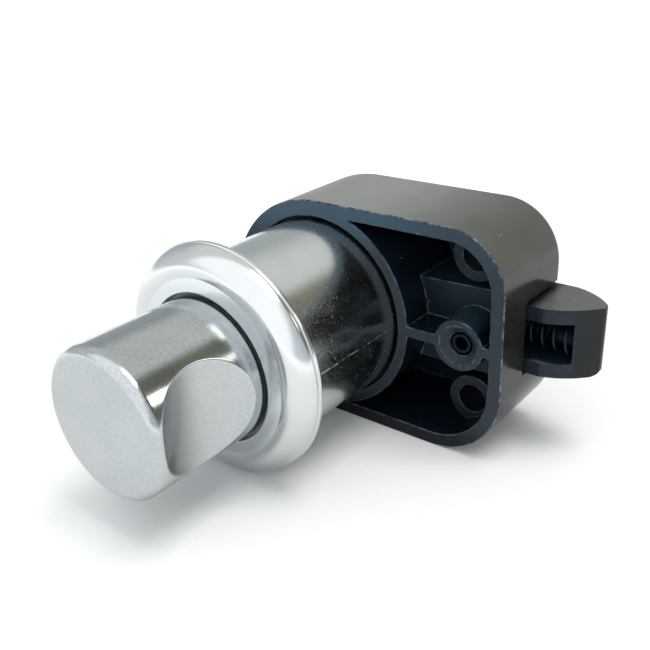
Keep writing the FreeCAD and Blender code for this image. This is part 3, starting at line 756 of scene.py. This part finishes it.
def parting_line(shade):
    """1 on a broken line along the right-hand side of the sleeve."""
    x, _, z = shade.axes(shade.place)
    wave = shade.noise(shade.place, scale=500.0, detail=2.0)
    gaps = shade.noise(shade.place, scale=1300.0, detail=2.0)
    wandered = shade.math("ADD", z, shade.product(wave, SEAM_WANDER * MM))
    middle = (SEAM_HEIGHT + SEAM_WANDER / 2) * MM
    away = shade.math("ABSOLUTE", shade.math("SUBTRACT", wandered, middle))
    line = shade.along(away, SEAM_WIDTH, 1.0, 0.0)
    return shade.product(line, shade.math("GREATER_THAN", x, 0.0), shade.spread(gaps, 0.42, 0.58))


def hair_scratches(shade):
    """1 on fine scratches round the sleeve."""
    angle, _ = shade.around()
    along = shade.product(shade.axes(shade.place)["Y"], SCRATCHES_ALONG)
    hair = shade.vector(shade.product(angle, SCRATCHES_ROUND), along, 0.0)
    return shade.spread(shade.noise(hair, scale=1.0, detail=4.0, roughness=0.6), 0.64, 0.72)


def plated_zinc():
    """Bright plated tube: fine pits and scratches, dust, and a parting line on one side."""
    shade = Shade("plated_zinc", (0.55, 0.56, 0.55), 0.15, 1.0)
    cloud = shade.noise(shade.place, scale=240.0, detail=5.0)
    pits = shade.noise(shade.place, scale=4200.0, detail=4.0, roughness=0.6)
    coarse_dust = shade.specks(scale=1400.0, size=0.12, share=0.12)
    fine_dust = shade.specks(scale=3200.0, size=0.16, share=0.03)
    dust = shade.math("MAXIMUM", coarse_dust, fine_dust)
    seam = parting_line(shade)
    marked = shade.math("MAXIMUM", seam, shade.product(dust, 0.5))
    base = shade.mix(cloud, (0.57, 0.59, 0.58), (0.67, 0.69, 0.68))
    shade.set("Base Color", shade.mix(marked, base, (0.72, 0.75, 0.76)))
    rough = shade.blend(hair_scratches(shade), shade.spread(pits, 0.36, 0.64, 0.14, 0.24), 0.36)
    shade.set("Roughness", shade.blend(marked, rough, 0.6))
    shade.bump(shade.math("ADD", pits, seam), distance=0.012, strength=0.25)
    return shade.material


def satin_zinc():
    """Satin plated button: rougher on its front, with painted shade below and in the scoops' front
    halves.
    """
    shade = Shade("satin_zinc", (0.55, 0.56, 0.55), 0.2, 1.0)
    _, normal_y, normal_z = shade.facing()
    cloud = shade.noise(shade.place, scale=200.0, detail=5.0)
    grain = shade.noise(shade.place, scale=5200.0, detail=4.0, roughness=0.6)
    flecks = shade.noise(shade.place, scale=2600.0, detail=4.0, roughness=0.6)
    # Painted shade on the scoops' front halves and on the faces that look down
    scoop_front = shade.spread(normal_y, -0.15, 0.45)
    painted_shade = shade.math("MAXIMUM", scoop_front, shade.fall(normal_z, -0.9, -0.5))
    plain = shade.mix(cloud, (0.46, 0.485, 0.495), (0.56, 0.585, 0.595))
    base = shade.mix(painted_shade, plain, (0.26, 0.28, 0.285))
    flecked = shade.mix(0.16, base, (0.2, 0.21, 0.21))
    shade.set("Base Color", shade.mix(shade.spread(flecks, 0.35, 0.65), flecked, base))
    side = shade.cloudy(cloud, 0.12, 0.18)
    shade.set("Roughness", shade.blend(shade.fall(normal_y, -0.98, -0.9), side, 0.26))
    shade.bump(shade.math("ADD", grain, flecks), distance=0.012, strength=0.32)
    return shade.material


def spring_wire():
    """Bright drawn wire."""
    shade = Shade("spring_wire", (0.45, 0.45, 0.46), 0.3, 1.0)
    grain = shade.noise(shade.place, scale=9000.0)
    shade.set("Base Color", shade.mix(grain, (0.4, 0.4, 0.41), (0.5, 0.5, 0.51)))
    shade.set("Roughness", shade.cloudy(grain, 0.22, 0.4))
    return shade.material


def dark_wire():
    """Blackened steel of the tongue's spring, the pin and the snap ring."""
    shade = Shade("dark_wire", (0.012, 0.014, 0.018), 0.45, 1.0)
    grain = shade.noise(shade.place, scale=9000.0)
    shade.set("Base Color", shade.mix(grain, (0.012, 0.019, 0.03), (0.024, 0.036, 0.055)))
    shade.set("Roughness", shade.cloudy(grain, 0.36, 0.55))
    return shade.material


def plated_sheet():
    """Zinc plated sheet with soft streaks from rolling."""
    shade = Shade("plated_sheet", (0.55, 0.55, 0.54), 0.3, 1.0)
    rolled = shade.stretch(shade.place, (60.0, 60.0, 2500.0))
    streaks = shade.noise(rolled, scale=1.0, detail=4.0)
    shade.set("Base Color", shade.mix(streaks, (0.48, 0.48, 0.47), (0.6, 0.6, 0.59)))
    shade.set("Roughness", shade.cloudy(streaks, 0.24, 0.42))
    shade.bump(streaks, distance=0.01, strength=0.3)
    return shade.material


def grey_plastic():
    """Plain moulded plastic of the inner parts."""
    shade = Shade("grey_plastic", (0.3, 0.3, 0.29), 0.5)
    grain = shade.noise(shade.place, scale=6000.0)
    shade.set("Base Color", shade.mix(grain, (0.27, 0.27, 0.26), (0.33, 0.33, 0.32)))
    shade.set("Roughness", shade.cloudy(grain, 0.42, 0.58))
    shade.bump(grain, distance=0.02, strength=0.3)
    return shade.material


# Solids that stay as they are and only get a finish
FINISH = {
    "post_pin": dark_wire,
    "snap_ring": dark_wire,
    "plunger": grey_plastic,
    "knob_screw": spring_wire,
    "guide_bush": grey_plastic,
    "retaining_ring": spring_wire,
    "cam_follower": spring_wire,
}


def make_coil(node, name, finish):
    """A copy of a spring's solid, fixed to the case, with the finish given."""
    coil = add_piece(name, nodes[node].data.copy(), "case", node)
    coil.data.materials.clear()
    coil.data.materials.append(finish)
    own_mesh(coil)


def make_coils(bright, dark):
    """Both springs, each with its finish."""
    make_coil("knob_spring", "knob_coil", bright)
    make_coil("tongue_spring", "tongue_coil", dark)


def make_moulded():
    """The case, the tongue and the sheet at the back, with their edges rounded."""
    soft_copy("housing", "case_shell", "case", CASE_EDGE, black_case, painted_edge_highlight)
    soft_copy(
        "tongue", "tongue_bolt", "tongue_unit", TONGUE_EDGE, black_tongue, painted_edge_highlight,
        clamped=True,
    )
    soft_copy("rear_cover", "back_plate", "case", SHEET_EDGE, plated_sheet, plated_sheet)


def dress():
    """Gives each remaining solid its finish and puts finer pieces in the place of the others."""
    made = {finish: finish() for finish in dict.fromkeys(FINISH.values())}
    for node, finish in FINISH.items():
        for mesh_slot in nodes[node].material_slots:
            mesh_slot.material = made[finish]
    make_coils(made[spring_wire], made[dark_wire])
    make_moulded()
    turned = ((make_rosette(), satin_chrome), (make_sleeve(), plated_zinc), (make_knob(), satin_zinc))
    for piece, finish in turned:
        piece.data.materials.clear()
        piece.data.materials.append(finish())


def make_camera():
    """Looks along the photograph's direction, turned about it by the roll."""
    turn, rise = CAMERA_TURN, CAMERA_RISE
    back = Vector((math.sin(turn) * math.cos(rise), -math.cos(turn) * math.cos(rise), math.sin(rise)))
    level = (-back).cross(Vector((0, 0, 1))).normalized()
    down = (-back).cross(level)
    right = math.cos(CAMERA_ROLL) * level + math.sin(CAMERA_ROLL) * down
    up = back.cross(right)
    data = bpy.data.cameras.new("camera")
    data.sensor_width = SENSOR
    data.lens = FOCAL_PIXELS / PHOTO_SIDE * SENSOR
    data.clip_start = CAMERA_NEAR * MM
    data.clip_end = CAMERA_FAR * MM
    camera = bpy.data.objects.new("camera", data)
    bpy.context.scene.collection.objects.link(camera)
    turned = Matrix((right, up, back)).transposed().to_4x4()
    camera.matrix_world = Matrix.Translation(CAMERA_PLACE) @ turned
    bpy.context.scene.camera = camera


# The floor's own glow, which is seen, directly or as a reflection, but lights no dull surface: the
# distances from the middle between which it grows, and its full strength
GLOW_GROWS = (50.0, 250.0)
GLOW = 0.5


def floor_shade():
    """Pale fine-grained floor that turns into the white background further out."""
    shade = Shade("floor", (0.86, 0.87, 0.88), 0.6)
    grain = shade.noise(shade.place, scale=1500.0, detail=4.0)
    shade.set("Base Color", shade.mix(grain, (0.82, 0.83, 0.845), (0.88, 0.885, 0.885)))
    shade.bump(grain, distance=0.05, strength=0.3)
    x, y, _ = shade.axes(shade.place)
    fill = shade.along(shade.length(x, y), GLOW_GROWS, 0.0, GLOW)
    path = shade.add("ShaderNodeLightPath").outputs
    seen = shade.math("ADD", path["Is Camera Ray"], path["Is Glossy Ray"], clamp=True)
    seen = shade.math("ADD", seen, path["Is Transmission Ray"], clamp=True)
    glow = shade.add("ShaderNodeEmission")
    shade.feed(glow.inputs["Color"], (1.0, 1.0, 1.0))
    shade.feed(glow.inputs["Strength"], shade.product(seen, fill))
    both = shade.add("ShaderNodeAddShader")
    shade.feed(both.inputs[0], shade.shader.outputs[0])
    shade.feed(both.inputs[1], glow.outputs[0])
    shade.feed(shade.surface, both.outputs[0])
    return shade.material


def make_floor():
    """A large pale plane under the case's and the rosette's lowest points."""
    half = FLOOR_SIDE * MM / 2
    mesh = bpy.data.meshes.new("floor")
    corners = [(-half, -half, 0), (half, -half, 0), (half, half, 0), (-half, half, 0)]
    mesh.from_pydata(corners, [], [(0, 1, 2, 3)])
    mesh.materials.append(floor_shade())
    floor = bpy.data.objects.new("floor", mesh)
    bpy.context.scene.collection.objects.link(floor)
    floor.location = (0, 0, (CASE_BOTTOM - FLOOR_GAP) * MM)
    floor.rotation_euler = (math.atan2(-ROSETTE_RADIUS - CASE_BOTTOM, DOOR_FRONT), 0, 0)


# The lamp: its direction from the latch, its distance, side and power, and its slightly warm colour
LAMP_SIDE = (0.3, 0.05, 0.95)
LAMP_DISTANCE = 600.0
LAMP_SIZE = 280.0
LAMP_POWER = 1.7
LAMP_COLOR = (1.0, 0.98, 0.94)


def make_lamp():
    """One square soft lamp above the latch, facing it."""
    data = bpy.data.lights.new("key", "AREA")
    data.shape = "SQUARE"
    data.size = LAMP_SIZE * MM
    data.energy = LAMP_POWER
    data.color = LAMP_COLOR
    lamp = bpy.data.objects.new("key", data)
    bpy.context.scene.collection.objects.link(lamp)
    way = Vector(LAMP_SIDE).normalized()
    lamp.location = way * (LAMP_DISTANCE * MM)
    lamp.rotation_euler = way.to_track_quat("Z", "Y").to_euler()


# The room round the table. A side is a direction from the latch. A reach holds two cosines of the angle
# from it: from the first to the second, the side's own light takes over. WINDOW_EDGE points from the
# window's upright edge into the window.
BACK_SIDE = (0.0, 1.0, 0.0)
BACK_REACH = (-0.5, 0.5)
FRONT_WALL_LIGHT = (0.78, 0.83, 0.88)
BACK_WALL_LIGHT = (0.48, 0.52, 0.54)
CEILING_SIDE = (0.0, 0.0, 1.0)
CEILING_REACH = (0.4, 0.7)
CEILING_LIGHT = (0.84, 0.87, 0.83)
DARK_SIDE = (0.70, 0.515, 0.5)
DARK_REACH = (0.83, 0.93)
DARK_LIGHT = (0.22, 0.225, 0.17)
WINDOW_SIDE = (0.0, -0.766, 0.643)
WINDOW_REACH = (0.5, 0.74)
WINDOW_EDGE = (0.6, -0.79, 0.12)
WINDOW_EDGE_REACH = (-0.04, 0.06)
WINDOW_LIGHT = (1.4, 1.43, 1.46)
SMALL_WINDOW_SIDE = (0.718, 0.513, 0.469)
SMALL_WINDOW_REACH = (0.992, 0.9965)
SMALL_WINDOW_LIGHT = (5.0, 5.0, 4.8)


def make_world():
    """A pale room: a bright window in front of the knob, a far small one, and a dark back right."""
    world = bpy.data.worlds.new("world")
    bpy.context.scene.world = world
    world.use_nodes = True
    room = Nodes(world.node_tree)
    place = room.add("ShaderNodeTexCoord").outputs["Generated"]

    def toward(side, reach):
        """1 on a side of the room and 0 away from it."""
        match = room.add("ShaderNodeVectorMath", operation="DOT_PRODUCT")
        room.feed(match.inputs[0], place)
        room.feed(match.inputs[1], Vector(side).normalized())
        return room.spread(match.outputs["Value"], *reach)

    walls = room.mix(toward(BACK_SIDE, BACK_REACH), FRONT_WALL_LIGHT, BACK_WALL_LIGHT)
    light = room.mix(toward(CEILING_SIDE, CEILING_REACH), walls, CEILING_LIGHT)
    light = room.mix(toward(DARK_SIDE, DARK_REACH), light, DARK_LIGHT)
    window = room.mix(toward(WINDOW_EDGE, WINDOW_EDGE_REACH), light, WINDOW_LIGHT)
    light = room.mix(toward(WINDOW_SIDE, WINDOW_REACH), light, window)
    light = room.mix(toward(SMALL_WINDOW_SIDE, SMALL_WINDOW_REACH), light, SMALL_WINDOW_LIGHT)
    seen = room.add("ShaderNodeLightPath").outputs["Is Camera Ray"]
    shown = room.mix(seen, light, (1.0, 1.0, 1.0))
    room.feed(world.node_tree.nodes["Background"].inputs["Color"], shown)


dress()
make_camera()
make_floor()
make_world()
make_lamp()
bpy.context.scene.view_settings.view_transform = "Standard"
